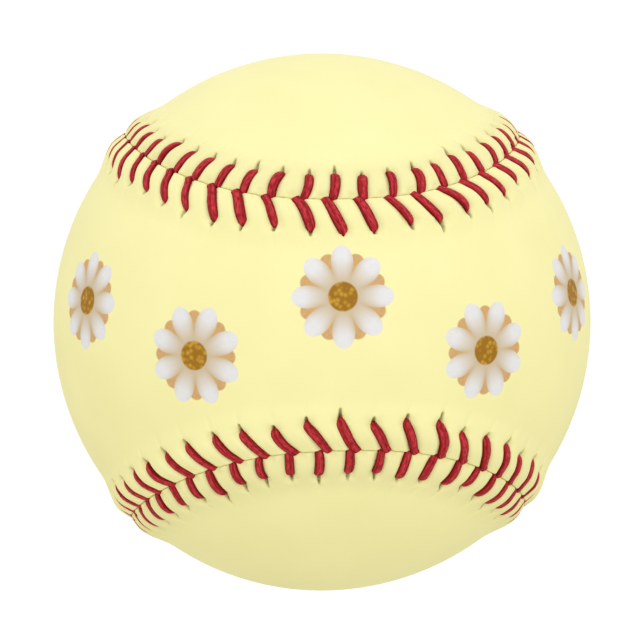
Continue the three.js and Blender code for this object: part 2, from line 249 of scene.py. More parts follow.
# How bright the white surround and the light table shine on the ball, and how bright both look.
SURROUND_LIGHT = 0.95
TABLE_LIGHT = 0.81
TABLE_TINT = (1, 0.985, 0.88, 1)
SEEN_WHITE = 1.05
SOFTBOX_PLACE = (0.06, -1.0, 0.16)
SOFTBOX_SIZE = 1.5
SOFTBOX_POWER = 4.8

# The floor's half width in metres. It lies a little under the ball's flat spot, so that the two
# flat faces don't flicker through each other.
FLOOR_REACH = 3.0
FLOOR_GAP = 0.02


# The seam line and the leather's shape


def smooth_step(low, high, value):
    """0 below low, 1 above high, and 3t^2 - 2t^3 of the share t between them."""
    share = np.clip((value - low) / (high - low), 0, 1)
    return share * share * (3 - 2 * share)


def normalised(vectors):
    """The vectors, each divided by its length."""
    return vectors / np.linalg.norm(vectors, axis=-1, keepdims=True)


def run_along(points):
    """How far along a path of straight steps each of its points lies."""
    steps = np.linalg.norm(np.diff(points, axis=0), axis=1)
    return np.concatenate([[0], np.cumsum(steps)])


def seam_point(turn):
    """The seam line on a ball of radius 1, for a turn from 0 to 4 pi: a latitude that swings to the
    front and to the back, and a longitude that goes round once while it leads and lags."""
    towards_front = SEAM_SWING * np.cos(turn) + SEAM_SWING_THIRD * np.cos(3 * turn)
    around = turn / 2 + SEAM_WANDER * np.sin(2 * turn)
    return np.stack(
        [
            np.cos(towards_front) * np.sin(around),
            -np.sin(towards_front),
            np.cos(towards_front) * np.cos(around),
        ],
        axis=-1,
    )


SEAM_TURNS = np.linspace(0, 4 * np.pi, SEAM_STEPS + 1)
SEAM_RUN = run_along(seam_point(SEAM_TURNS))
STITCH_PITCH = SEAM_RUN[-1] * BALL_RADIUS / STITCH_COUNT


def beside_seam(stitches, across):
    """Directions from the ball's centre. The seam's outward direction is turned by across / radius
    towards the front cover, about the seam's own direction there. The stitches drift by a sine with
    two waves round the seam, so they lie further apart along each cover's waist and closer together
    round its ends."""
    wave = np.sin(DRIFT_WAVES * 2 * np.pi * stitches / STITCH_COUNT)
    share = np.mod(stitches + STITCH_DRIFT * wave, STITCH_COUNT) / STITCH_COUNT
    turn = np.interp(share * SEAM_RUN[-1], SEAM_RUN, SEAM_TURNS)
    step = 2 * np.pi / SEAM_STEPS
    outward = seam_point(turn)
    forward = normalised(seam_point(turn + step) - seam_point(turn - step))
    towards_front = np.cross(forward, outward)
    angle = (across / BALL_RADIUS)[..., None]
    return outward * np.cos(angle) + towards_front * np.sin(angle)


class Side:
    """One cover's side of the seam: how high its leather is and how much darker its tone is along the
    seam, and each leg's foot, hole, reach, width, bow, sink and slit, with hand work's small
    differences."""

    def __init__(self, sign, rise, seam_darkening, foot, hole, reach, seed):
        draws = np.random.default_rng(seed).normal(size=(TRAIT_COUNT, STITCH_COUNT))
        spread = draws.clip(-SPREAD_LIMIT, SPREAD_LIMIT)
        self.sign = sign
        self.rise = rise
        self.seam_darkening = seam_darkening
        self.foot = foot + FOOT_SPREAD * spread[0]
        self.hole = hole + HOLE_SPREAD * spread[1]
        self.reach = reach + REACH_SPREAD * spread[2]
        self.width = 1 + WIDTH_SPREAD * spread[3]
        self.bow = BOW_SPREAD * spread[4]
        self.sink = SINK_SPREAD * spread[5]
        self.slit = SLIT_LENGTH * (1 + SLIT_SPREAD * spread[6])

    def at(self, values, stitches):
        """A value of the two nearest stitches, mixed by how near each is."""
        places = np.arange(STITCH_COUNT + 1)
        return np.interp(np.mod(stitches, STITCH_COUNT), places, np.append(values, values[0]))

    def leg_shift(self, stitches, distance):
        """How far a leg's line lies along the seam from its stitch, in stitches. It runs straight
        from foot to hole with a small bow, and comes back to nothing where the leather is flat."""
        share = np.clip(distance / self.at(self.reach, stitches), 0, 1)
        line = self.at(self.foot, stitches) * (1 - share) + self.at(self.hole, stitches) * share
        line = line + self.at(self.bow, stitches) * 4 * share * (1 - share)
        return line * (1 - smooth_step(SHIFT_FADE_START, FLAT_LEATHER, distance))

    def directions(self, stitches, distance):
        """Directions from the ball's centre on this cover, shifted along the seam with the legs."""
        moved = stitches + self.leg_shift(stitches, distance)
        return beside_seam(moved, self.sign * np.broadcast_to(distance, moved.shape))


FRONT = Side(1, FRONT_RISE, FRONT_SEAM_DARKENING, FRONT_FOOT, FRONT_HOLE, FRONT_REACH, FRONT_SEED)
BACK = Side(-1, BACK_RISE, BACK_SEAM_DARKENING, BACK_FOOT, BACK_HOLE, BACK_REACH, BACK_SEED)


def beside_nearest(places):
    """How far each place along the seam is from the nearest whole stitch, in millimetres."""
    return np.abs(places - np.round(places)) * STITCH_PITCH


def ridge_height(side, distance):
    """The raised seam: a crest with a shallow dip at the seam line and a long slope to the ball."""
    dip = SEAM_DIP * (1 - smooth_step(0, RIDGE_CREST, distance))
    crest = RIDGE_HEIGHT * (1 + (side.rise - 1) * smooth_step(0, RIDGE_CREST, distance))
    return (crest - dip) * (1 - smooth_step(RIDGE_CREST, RIDGE_END, distance))


def slit_depth(side, stitches, distance):
    """The slit behind each leg, from 0 to 1 at its deepest: widest by the thread, then tapering."""
    length = side.at(side.slit, stitches) + SLIT_UNDER
    share = (distance - side.at(side.reach, stitches) + SLIT_UNDER) / length
    left = np.clip(1 - share, 0, 1)
    half_width = SLIT_HALF_WIDTH * left**SLIT_TAPER + SLIT_LEAST_HALF_WIDTH
    wall = smooth_step(0, SLIT_WALL, 1 - beside_nearest(stitches) / half_width)
    return wall * (share > 0) * smooth_step(0, SLIT_START, share) * left**SLIT_FLOOR


def foot_pocket(side, stitches, distance):
    """How far the back cover's edge is pressed down under the front legs' overlapping feet."""
    place = stitches + side.leg_shift(stitches, distance) - FRONT_FOOT - FRONT_FOOT_SLIP
    across = 1 - smooth_step(POCKET_REACH, 2 * POCKET_REACH, distance)
    return POCKET_DEPTH * across * (1 - smooth_step(PRESS_INSIDE, POCKET_SIDE, beside_nearest(place)))


def leather_height(side, stitches, distance):
    """The leather's outer face: the ridge, pressed down under each leg up to its hole and under the
    feet that reach over from the other cover, with a dimple and a slit at the hole and a faint
    pucker beyond it."""
    beside = beside_nearest(stitches)
    reach = side.at(side.reach, stitches)
    pressed = PRESS_DEPTH * (1 - smooth_step(PRESS_INSIDE, PRESS_OUTSIDE, beside))
    pressed = pressed * (1 - smooth_step(reach, reach + PRESS_FADE, distance))
    if side.sign < 0:
        pressed = np.maximum(pressed, foot_pocket(side, stitches, distance))
    from_dimple = beside**2 + (distance - (reach + DIMPLE_BEYOND)) ** 2
    dimple = DIMPLE_DEPTH * np.exp(-from_dimple / DIMPLE_SPREAD)
    beyond = (distance - reach - SLIT_LENGTH * PUCKER_START) / PUCKER_LENGTH
    pucker = PUCKER_DEPTH * np.exp(-((beside / PUCKER_WIDTH) ** 2))
    pucker = pucker * smooth_step(0, PUCKER_RISE, beyond) * (1 - smooth_step(PUCKER_RISE, 1, beyond))
    slit = SLIT_DEPTH * slit_depth(side, stitches, distance)
    return ridge_height(side, distance) - pressed - dimple - pucker - slit


def inner_height(distance):
    """The leather's inner face, which is lifted a little along the seam."""
    return INNER_LIFT * (1 - smooth_step(0, RIDGE_END, distance)) - LEATHER_THICKNESS


def unevenness(directions):
    """Slow, small waves all over the ball, as the mean of three sines of the direction."""
    x, y, z = np.moveaxis(directions, -1, 0)
    waves = np.sin(5 * x + 3 * z) + np.sin(7 * y - 4 * x + 1) + np.sin(6 * z + 5 * y + 2)
    return UNEVENNESS * waves / 3


def spine_directions(local):
    """The middle line of the front cover, a great circle. Two columns that face each other across
    the cover share a point, because the place along it goes as the sine of the folded stitch count."""
    half = STITCH_COUNT / 2
    from_waist = np.mod(local + half, STITCH_COUNT) - half
    beyond = np.abs(from_waist) > QUARTER_STITCHES
    folded = np.where(beyond, np.sign(from_waist) * (half - np.abs(from_waist)), from_waist)
    angle = SPINE_REACH * np.sin(np.pi / 2 * folded / QUARTER_STITCHES)
    return np.stack([np.sin(angle), -np.cos(angle), np.zeros_like(angle)], axis=-1)


def half_turned(points):
    """Points turned half round the axis (1, 0, -1), which lays the front cover on the back one."""
    return np.stack([-points[..., 2], -points[..., 1], -points[..., 0]], axis=-1)


# Meshes


def strip_quads(low, high):
    """Quads between closed rows of vertex numbers and the rows next to them."""
    corners = [low, high, np.roll(high, -1, axis=-1), np.roll(low, -1, axis=-1)]
    return np.stack(corners, axis=-1).reshape(-1, 4)


def fan_triangles(fine, coarse):
    """Triangles between a closed fine row and a coarse one with every COARSE_STEP-th column."""
    cells = fine.reshape(-1, COARSE_STEP)
    following = np.roll(fine, -1).reshape(-1, COARSE_STEP)
    own = np.repeat(coarse[:, None], COARSE_STEP, axis=1)
    later = np.repeat(np.roll(coarse, -1)[:, None], COARSE_STEP, axis=1)
    first_half = np.arange(COARSE_STEP) < COARSE_STEP // 2
    tips = np.where(first_half, own, later)
    fans = np.stack([cells, tips, following], axis=-1).reshape(-1, 3)
    middle = np.stack([cells[:, COARSE_STEP // 2], coarse, np.roll(coarse, -1)], axis=-1)
    return np.concatenate([fans, middle])


def cap_triangles(tip, ring):
    """Triangles from one point to a closed ring."""
    return np.stack([np.full_like(ring, tip), ring, np.roll(ring, -1)], axis=-1)


def new_piece(name, points, quads, triangles, material):
    """A smooth mesh piece from points in millimetres."""
    mesh = bpy.data.meshes.new(name)
    mesh.from_pydata(points * MM, [], quads.tolist() + triangles.tolist())
    mesh.polygons.foreach_set("use_smooth", np.ones(len(mesh.polygons), bool))
    mesh.materials.append(material)
    mesh.update()
    piece = bpy.data.objects.new(name, mesh)
    bpy.context.scene.collection.objects.link(piece)
    return piece


def set_attribute(piece, name, values):
    """A number for each vertex, which a material can read."""
    attribute = piece.data.attributes.new(name, "FLOAT", "POINT")
    attribute.data.foreach_set("value", values.astype(np.float32))


def without_spares(points, quads, triangles, values):
    """The same faces, with the unused points left out."""
    used = np.unique(np.concatenate([quads.ravel(), triangles.ravel()]))
    renumber = np.zeros(len(points), int)
    renumber[used] = np.arange(len(used))
    return points[used], renumber[quads], renumber[triangles], values[used]


def cover_columns(side):
    """The columns' places along the seam, as counted on the front cover and as they are on this
    one. They are gathered at each leg: a place u is moved by -gather * sin(2 pi u) / 2 pi. The back
    cover counts backwards from three quarters of the way round, which is the middle of its own
    waist."""
    steps = np.arange(STITCH_COUNT * STITCH_COLUMNS) / STITCH_COLUMNS
    local = steps - COLUMN_GATHER * np.sin(2 * np.pi * steps) / (2 * np.pi)
    return local, (local if side.sign > 0 else 3 * QUARTER_STITCHES - local)


def edge_rows():
    """Distances from the seam line of the rows by the seam, and how far each is rounded down into
    the seam: a quarter circle at the lip, then rows that lie closest together where the slits are."""
    angle = np.linspace(0, np.pi / 2, LIP_ROWS)
    stretches = [LIP_GAP + LIP_RADIUS * (1 - np.cos(angle))]
    for end, rows in EDGE_STRETCHES:
        stretches.append(np.linspace(stretches[-1][-1], end, rows + 1)[1:])
    away = np.concatenate(stretches)
    drop = np.zeros_like(away)
    drop[:LIP_ROWS] = LIP_RADIUS * (1 - np.sin(angle))
    return away, drop


def dome_directions(edge, spine, rows):
    """Rows from the end of the raised seam to the middle line: straight mixes of the two, put back
    on the ball."""
    share = (np.arange(1, rows + 1) / rows)[:, None, None]
    return normalised(edge * (1 - share) + spine * share)


def cover_blocks(side):
    """A cover's points as four blocks of rows: its outer face by the seam, whose columns follow the
    legs from the lip outwards, then the rest of it up to the middle line, with a quarter of the
    columns, and the inner face in the same two parts. The first block's painted shade, for its slits
    and the seam's crevice, and its darker tone along the seam come with them."""
    local, stitches = cover_columns(side)
    along = stitches[None, :]
    distance, lip_drop = edge_rows()
    away = distance[:, None]
    drop = lip_drop[:, None]
    edge = side.directions(along, away)
    height = leather_height(side, along, away) - drop + unevenness(edge)
    # Painted shade: the colour is darkened down in the slits and, under the lip, in the seam's
    # crevice.
    painted_shade = np.maximum(slit_depth(side, along, away), LIP_PAINTED_SHADE * (drop / LIP_RADIUS) ** 2)
    # The leather's darker tone along the seam, which fades out away from it.
    seam_darkening = side.seam_darkening * (1 - smooth_step(SEAM_DARKENING_INSIDE, SEAM_DARKENING_OUTSIDE, away))

    coarse = along[:, ::COARSE_STEP]
    ridge_end = side.directions(coarse, np.full((1, 1), FLAT_LEATHER))[0]
    spine = spine_directions(local[::COARSE_STEP])
    if side.sign < 0:
        spine = half_turned(spine)
    dome = dome_directions(ridge_end, spine, DOME_ROWS)
    inner_away = np.array(INNER_EDGE_ROWS)[:, None]
    inner_edge = side.directions(coarse, inner_away)
    inner_dome = dome_directions(ridge_end, spine, INNER_DOME_ROWS)
    blocks = [
        edge * (BALL_RADIUS + height)[..., None],
        dome * (BALL_RADIUS + unevenness(dome))[..., None],
        inner_edge * (BALL_RADIUS + inner_height(inner_away))[..., None],
        inner_dome * (BALL_RADIUS - LEATHER_THICKNESS),
    ]
    return blocks, painted_shade, seam_darkening


def cover_faces(blocks):
    """The faces that join a cover's four blocks into one closed shell. On the middle line, the
    columns that face each other across the cover use the same points."""
    numbers = []
    start = 0
    for block in blocks:
        rows, columns = block.shape[:2]
        numbers.append(np.arange(start, start + rows * columns).reshape(rows, columns))
        start += rows * columns
    edge, dome, inner_edge, inner_dome = numbers
    columns = dome.shape[1]
    column = np.arange(columns)
    facing = np.minimum(column, np.mod(columns // 2 - column, columns))
    for rows in (dome, inner_dome):
        rows[-1] = rows[-1][facing]

    inside = np.concatenate([inner_edge, inner_dome])
    quads = [
        strip_quads(edge[:-1], edge[1:]),
        strip_quads(dome[:-1], dome[1:]),
        strip_quads(inside[1:], inside[:-1]),
    ]
    triangles = [fan_triangles(edge[-1], dome[0]), fan_triangles(edge[0], inner_edge[0])[:, ::-1]]
    return np.concatenate(quads), np.concatenate(triangles)


def cover(side, name, material):
    """One closed leather shell, flat where the ball rests, with the tones its material reads."""
    blocks, painted_shade, seam_darkening = cover_blocks(side)
    quads, triangles = cover_faces(blocks)
    points = np.concatenate([block.reshape(-1, 3) for block in blocks])
    points[:, 2] = np.maximum(points[:, 2], REST_LEVEL)
    tones = np.zeros((len(points), 2))
    tones[: painted_shade.size, 0] = painted_shade.ravel()
    tones[: painted_shade.size, 1] = np.broadcast_to(seam_darkening, painted_shade.shape).ravel()
    points, quads, triangles, tones = without_spares(points, quads, triangles, tones)
    piece = new_piece(name, points, quads, triangles, material)
    set_attribute(piece, "painted_shade", tones[:, 0])
    set_attribute(piece, "seam_darkening", tones[:, 1])
    return piece


def leg_rings(side, stitch):
    """The centres and sizes of the rings of each leg at the given stitches, from the bottom of its
    hole to the bottom of the seam. The leg follows the pressed leather and turns down at both ends,
    and a front leg's foot is lifted and reaches over the seam."""
    lift = RING_LIFT + BACK_FOOT_LIFT * RING_FOOT
    share = RING_REACH
    slip = np.zeros_like(RING_FOOT)
    if side.sign > 0:
        lift = RING_LIFT + FRONT_FOOT_LIFT * RING_FOOT
        share = RING_REACH - FRONT_FOOT_OVERLAP * RING_FOOT
        slip = FRONT_FOOT_SLIP * RING_FOOT
    along = stitch[:, None].astype(float)
    away = share * side.reach[stitch][:, None]
    on_leather = np.maximum(away, 0)
    top = ridge_height(side, on_leather) - PRESS_DEPTH
    top = top - side.sink[stitch][:, None] * smooth_step(0, SINK_END, share)
    height = np.where(RING_HIDDEN, HIDDEN_DEPTH, top + lift * THREAD_THICKNESS)
    moved = along + side.leg_shift(along, on_leather) + slip
    centres = beside_seam(moved, side.sign * away) * (BALL_RADIUS + height)[..., None]
    return centres, RING_SIZE * side.width[stitch][:, None]


def halved(values):
    """The same values with one more between each two: nine times the near pair less the far pair,
    over 16, which lies on the cubic through all four."""
    near = values[:-1] + values[1:]
    far = np.concatenate([values[:1], values[:-2]]) + np.concatenate([values[2:], values[-1:]])
    finer = np.empty((2 * len(values) - 1,) + values.shape[1:])
    finer[::2] = values
    finer[1::2] = (9 * near - far) / 16
    return finer


def rounded_section(size):
    """A thread's section: a flattened circle, with the cosine and the sine to a power below 1."""
    turn = 2 * np.pi * np.arange(THREAD_SIDES) / THREAD_SIDES
    circle = np.stack([np.cos(turn), np.sin(turn)])
    return np.sign(circle) * np.abs(circle) ** SECTION_POWER * np.array(size)[:, None] / 2


def thread(first, second, name, material):
    """One needle's thread as one closed tube, sewn once round the seam: a leg on one cover, then
    under the leather to a leg on the other. Its section lies square to the path, with its wide way
    held square to the leg, so that it turns over in each hole."""
    legs = np.arange(STITCH_COUNT)
    stitch = STITCH_COUNT - 1 - legs
    first_centres, first_size = leg_rings(first, stitch)
    second_centres, second_size = leg_rings(second, stitch)
    on_first = (legs % 2 == 0)[:, None]
    centres = np.where(on_first[..., None], first_centres, second_centres)
    size = np.where(on_first, first_size, second_size)
    sign = np.where(on_first[:, 0], first.sign, second.sign)

    travel = centres[:, -3] - centres[:, 2]
    wide = normalised(np.cross(travel[:, None, :], normalised(centres)) * sign[:, None, None])
    centres = halved(centres.reshape(-1, 3))
    wide = normalised(halved(wide.reshape(-1, 3)))
    forward = normalised(np.gradient(centres, axis=0))
    wide = normalised(wide - forward * np.sum(wide * forward, axis=1, keepdims=True))
    thick = np.cross(wide, forward)

    across, up = rounded_section((THREAD_WIDTH, THREAD_THICKNESS))
    section = wide[:, None] * across[None, :, None] + thick[:, None] * up[None, :, None]
    rings = centres[:, None] + halved(size.reshape(-1, 1, 1)) * section
    number = np.arange(len(centres) * THREAD_SIDES).reshape(-1, THREAD_SIDES)
    start_cap = cap_triangles(number.size, number[0])
    end_cap = cap_triangles(number.size + 1, number[-1])[:, [0, 2, 1]]
    points = np.concatenate([rings.reshape(-1, 3), centres[[0, -1]]])
    quads = strip_quads(number[:-1], number[1:])
    piece = new_piece(name, points, quads, np.concatenate([start_cap, end_cap]), material)
    set_thread_uv(piece, run_along(centres))
    return piece


def set_thread_uv(piece, run):
    """A UV map of a thread's sides: the share of the way round it, and the millimetres along it.
    The two caps, which come last, stay at nothing."""
    ring = np.repeat(np.arange(len(run) - 1), THREAD_SIDES)
    start = np.tile(np.arange(THREAD_SIDES) / THREAD_SIDES, len(run) - 1)
    end = start + 1 / THREAD_SIDES
    low = run[ring]
    high = run[ring + 1]
    sides = np.stack([start, low, start, high, end, high, end, low], axis=-1).ravel()
    places = np.zeros(2 * len(piece.data.loops), np.float32)
    places[: sides.size] = sides
    piece.data.uv_layers.new(name="along_thread").data.foreach_set("uv", places)


# Materials


class Shader:
    """A material's node tree, with short ways to add a node and to link it."""

    def __init__(self, name):
        self.material = bpy.data.materials.new(name)
        self.material.use_nodes = True
        self.tree = self.material.node_tree
        self.surface = self.tree.nodes["Principled BSDF"]
        self.place = self.tree.nodes.new("ShaderNodeTexCoord").outputs["Object"]

    def feed(self, node, inputs):
        """Sets the node's inputs, or links them to the outputs given."""
        for key, value in inputs.items():
            if isinstance(value, bpy.types.NodeSocket):
                self.tree.links.new(value, node.inputs[key])
            else:
                node.inputs[key].default_value = value

    def node(self, kind, inputs, **settings):
        """A new node with its settings and inputs."""
        made = self.tree.nodes.new(kind)
        for key, value in settings.items():
            setattr(made, key, value)
        self.feed(made, inputs)
        return made

    def math(self, operation, *values):
        """The result of a sum on numbers."""
        return self.node("ShaderNodeMath", dict(enumerate(values)), operation=operation).outputs[0]

    def times(self, first, second):
        """The product of two numbers."""
        return self.math("MULTIPLY", first, second)

    def vector(self, operation, *values, output="Vector"):
        """The result of a sum on vectors."""
        made = self.node("ShaderNodeVectorMath", dict(enumerate(values)), operation=operation)
        return made.outputs[output]

    def noise(self, scale, detail, place=None):
        """Soft cloudy noise, in the part's own coordinates if no other place is given."""
        inputs = {"Vector": place or self.place, "Scale": scale, "Detail": detail}
        return self.node("ShaderNodeTexNoise", inputs).outputs["Fac"]

    def cells(self, scale):
        """Cells like packed grains, with the distance from each cell's point and a colour for each."""
        return self.node("ShaderNodeTexVoronoi", {"Vector": self.place, "Scale": scale}).outputs

    def attribute(self, name):
        """A number that the piece has for each vertex."""
        return self.node("ShaderNodeAttribute", {}, attribute_name=name).outputs["Fac"]

    def ramp(self, value, low, high, start=0.0, end=1.0):
        """The value mapped from low-high to start-end, held at both ends."""
        inputs = {"Value": value, "From Min": low, "From Max": high, "To Min": start, "To Max": end}
        return self.node("ShaderNodeMapRange", inputs).outputs["Result"]

    def mix(self, share, first, second):
        """The first colour where share is 0 and the second where it is 1."""
        inputs = {MIX_SHARE: share, MIX_FIRST: first, MIX_SECOND: second}
        return self.node("ShaderNodeMix", inputs, data_type="RGBA").outputs[MIX_RESULT]

    def bump(self, height, strength, distance):
        """Fine relief from a height, with its depth in metres."""
        inputs = {"Height": height, "Strength": strength, "Distance": distance}
        return self.node("ShaderNodeBump", inputs).outputs["Normal"]

    def finish(self, colour, roughness, normal, gloss=0.5, sheen=0.0):
        """The finished material. Gloss and sheen are plain numbers, the same all over."""
        inputs = {"Base Color": colour, "Roughness": roughness, "Normal": normal}
        self.feed(self.surface, inputs | {"Specular IOR Level": gloss, "Sheen Weight": sheen})
        return self.material


def place_in_flower(shader):
    """Where a point lies in the flower nearest to it: the angle round the flower's middle, the way
    out from it as an angle seen from the ball's centre, and the same way out as a share of the
    flower's radius. The flowers lie in a zigzag, because each odd one is as far below the waist's
    middle as its neighbours are above it."""
    direction = shader.vector("NORMALIZE", shader.place)
    x, y, z = shader.node("ShaderNodeSeparateXYZ", {"Vector": direction}).outputs
    around = shader.math("ARCTAN2", x, shader.times(y, -1.0))
    nearest = shader.math("ROUND", shader.math("DIVIDE", around, FLOWER_SPACING))
    leftmost_or_later = shader.math("MAXIMUM", nearest, -FLOWERS_EACH_WAY)
    flower = shader.math("MINIMUM", leftmost_or_later, FLOWERS_EACH_WAY)
    odd = shader.math("MODULO", shader.math("ABSOLUTE", flower), 2.0)
    middle_up = shader.math("MULTIPLY_ADD", odd, -2 * FLOWER_STAGGER, FLOWER_STAGGER)
    right = shader.math("SUBTRACT", around, shader.times(flower, FLOWER_SPACING))
    above = shader.math("SUBTRACT", shader.math("ARCSINE", z), middle_up)
    flat = shader.node("ShaderNodeCombineXYZ", {"X": right, "Y": above}).outputs["Vector"]
    way_out = shader.vector("LENGTH", flat, output="Value")
    angle = shader.math("MULTIPLY_ADD", flower, FLOWER_TURN, shader.math("ARCTAN2", above, right))
    return angle, way_out, shader.math("DIVIDE", way_out, FLOWER_RADIUS)


def petals(shader, wave, angle, radius, reach):
    """A ring of petals, as 1 inside them, and how near to a petal's middle line a point is. A
    petal's edge lies at a radius that goes as a power of the sine or cosine of a multiple of the
    angle, so one formula draws them all."""
    turned = shader.math(wave, shader.times(angle, PETAL_COUNT / 2))
    share = shader.math("POWER", shader.math("ABSOLUTE", turned), PETAL_POWER)
    edge = shader.math("MULTIPLY_ADD", share, reach - PETAL_NOTCH, PETAL_NOTCH)
    inside = shader.ramp(shader.math("SUBTRACT", edge, radius), -PRINT_SOFTNESS, PRINT_SOFTNESS)
    return inside, share


def flowers(shader, leather):
    """The leather's colour with five printed daisies laid over it along the front cover's waist.
    Each has white petals with tan ones behind them, and a golden middle."""
    angle, way_out, radius = place_in_flower(shader)
    white, white_share = petals(shader, "COSINE", angle, radius, WHITE_REACH)
    tan, tan_share = petals(shader, "SINE", angle, radius, TAN_REACH)
    vein_place = shader.node("ShaderNodeCombineXYZ", {"X": angle, "Y": way_out}).outputs["Vector"]
    veins = shader.noise(scale=60, detail=4, place=vein_place)

    tan_shade = shader.times(tan_share, shader.ramp(veins, 0.3, 0.7, start=0.5))
    tan_colour = shader.mix(tan_shade, TAN_DEEP, TAN_LIGHT)
    petal_tip = shader.ramp(radius, 0.3, 0.75)
    white_shade = shader.times(shader.ramp(white_share, 0.4, 0.95), petal_tip)
    white_shade = shader.times(white_shade, shader.ramp(veins, 0.25, 0.6, start=0.8))
    white_colour = shader.mix(white_shade, WHITE_DEEP, WHITE_LIGHT)
    seeds = shader.ramp(shader.cells(scale=1500)["Distance"], 0.1, 0.6)
    gold = shader.mix(seeds, GOLD_LIGHT, GOLD_DEEP)

    colour = shader.mix(tan, leather, tan_colour)
    colour = shader.mix(white, colour, white_colour)
    return shader.mix(shader.ramp(radius, MIDDLE_RADIUS, MIDDLE_SOLID), colour, gold)


def leather_material(name, printed):
    """Smooth dyed leather: a faint mottle, fine pores, a darker tone along the seam, and painted shade
    down in the slits and the seam's crevice."""
    shader = Shader(name)
    mottle = shader.ramp(shader.noise(scale=110, detail=4), 0.3, 0.7)
    colour = shader.mix(mottle, LEATHER_DEEP, LEATHER_LIGHT)
    if printed:
        colour = flowers(shader, colour)
    # The darker tone along the seam, in blotches.
    blotches = shader.ramp(shader.noise(scale=420, detail=3), 0.3, 0.7, start=0.6)
    colour = shader.mix(shader.times(shader.attribute("seam_darkening"), blotches), colour, LEATHER_SEAM_DARK)
    # Painted shade down in the slits and the seam's crevice, broken into patches.
    patches = shader.ramp(shader.noise(scale=2400, detail=2), 0.35, 0.65, start=0.45, end=0.92)
    painted_shade_share = shader.times(shader.ramp(shader.attribute("painted_shade"), 0.05, 0.7), patches)
    colour = shader.mix(painted_shade_share, colour, LEATHER_PAINTED_SHADE)
    pores = shader.times(shader.cells(scale=2300)["Distance"], 0.6)
    grain = shader.math("ADD", pores, shader.noise(scale=3800, detail=3))
    roughness = shader.ramp(shader.noise(scale=260, detail=3), 0.3, 0.7, start=0.5, end=0.6)
    relief = shader.bump(grain, strength=0.1, distance=0.00006)
    return shader.finish(colour, roughness, relief, gloss=0.12)


def thread_material():
    """Red waxed thread of two strands that lie side by side: a painted highlight along each strand,
    painted shade in the groove between them, the darkest painted shade at its sides where the thread
    sinks into the leather, and streaked with fine fibres."""
    shader = Shader("red_waxed_thread")
    uv = shader.node("ShaderNodeUVMap", {}, uv_map="along_thread").outputs["UV"]
    parts = shader.node("ShaderNodeSeparateXYZ", {"Vector": uv}).outputs
    twisted = shader.math("MULTIPLY_ADD", parts["Y"], STRAND_TWIST, parts["X"])
    wave = shader.math("SINE", shader.times(twisted, STRAND_BANDS * math.pi))
    strand = shader.math("ABSOLUTE", wave)
    # Near 1 at the thread's two sides, which get the darkest painted shade.
    side = shader.math("ABSOLUTE", shader.math("COSINE", shader.times(parts["X"], 2 * math.pi)))
    fibre = shader.noise(scale=1, detail=4, place=shader.vector("MULTIPLY", uv, FIBRE_STRETCH))
    streaks = shader.ramp(fibre, 0.33, 0.65, start=0.15)
    # Painted highlight on each strand's crown, broken up by the fibres' own streaks, fading to painted
    # shade at the thread's sides.
    light = shader.times(shader.ramp(strand, 0, 0.7, start=0.35), streaks)
    light = shader.times(light, shader.ramp(side, 0.5, 0.95, start=1, end=0))
    colour = shader.mix(light, THREAD_PAINTED_SHADE, THREAD_PAINTED_HIGHLIGHT)
    height = shader.math("MULTIPLY_ADD", fibre, 0.4, shader.math("POWER", strand, 0.5))
    relief = shader.bump(height, strength=0.6, distance=0.00012)
    return shader.finish(colour, roughness=0.55, normal=relief, gloss=0.06)


def wound_yarn_material(name, deep, light, yarn_width):
    """Wound yarn: patches in which the yarn lies in parallel, each patch turned its own way. The
    height is the sine of the place across the yarn, after a small wobble."""
    shader = Shader(name)
    centred = shader.vector("SUBTRACT", shader.cells(scale=70)["Color"], (0.5, 0.5, 0.5))
    crossways = shader.vector("NORMALIZE", centred)
    wobble = shader.node("ShaderNodeTexNoise", {"Vector": shader.place, "Scale": 160}).outputs["Color"]
    bent = shader.vector("MULTIPLY_ADD", wobble, YARN_WOBBLE, shader.place)
    across = shader.vector("DOT_PRODUCT", bent, crossways, output="Value")
    strands = shader.math("SINE", shader.times(across, 2 * math.pi / yarn_width))
    height = shader.math("MULTIPLY_ADD", strands, 0.5, 0.5)
    fuzz = shader.noise(scale=2600, detail=4)
    # Painted shade in the grooves between strands and painted light on their crowns, with the fuzz's
    # own random tone.
    colour = shader.mix(shader.times(height, shader.ramp(fuzz, 0.3, 0.7, start=0.6)), deep, light)
    relief = shader.bump(shader.math("MULTIPLY_ADD", fuzz, 0.3, height), strength=0.8, distance=0.0004)
    return shader.finish(colour, roughness=0.95, normal=relief, sheen=0.3)


def cork_material():
    """Pressed cork: tan granules of different tones with dark specks between them."""
    shader = Shader("pressed_cork")
    granules = shader.cells(scale=900)
    tone = shader.node("ShaderNodeSeparateXYZ", {"Vector": granules["Color"]}).outputs["X"]
    colour = shader.mix(tone, CORK_DEEP, CORK_LIGHT)
    specks = shader.ramp(shader.noise(scale=1500, detail=3), 0.62, 0.7)
    colour = shader.mix(specks, colour, CORK_SPECK)
    fine_grain = shader.noise(scale=3000, detail=2)
    height = shader.math("MULTIPLY_ADD", granules["Distance"], -1.0, fine_grain)
    relief = shader.bump(height, strength=0.5, distance=0.0002)
    return shader.finish(colour, roughness=0.9, normal=relief)


def rubber_material(name, plain, dusty):
    """Moulded rubber: even colour with a dusting of chalk and a fine grain."""
    shader = Shader(name)
    dust = shader.ramp(shader.noise(scale=240, detail=5), 0.45, 0.75, end=0.6)
    roughness = shader.ramp(dust, 0, 0.6, start=0.5, end=0.8)
    relief = shader.bump(shader.noise(scale=4000, detail=2), strength=0.2, distance=0.00008)
    return shader.finish(shader.mix(dust, plain, dusty), roughness, relief)


# The ball and the studio


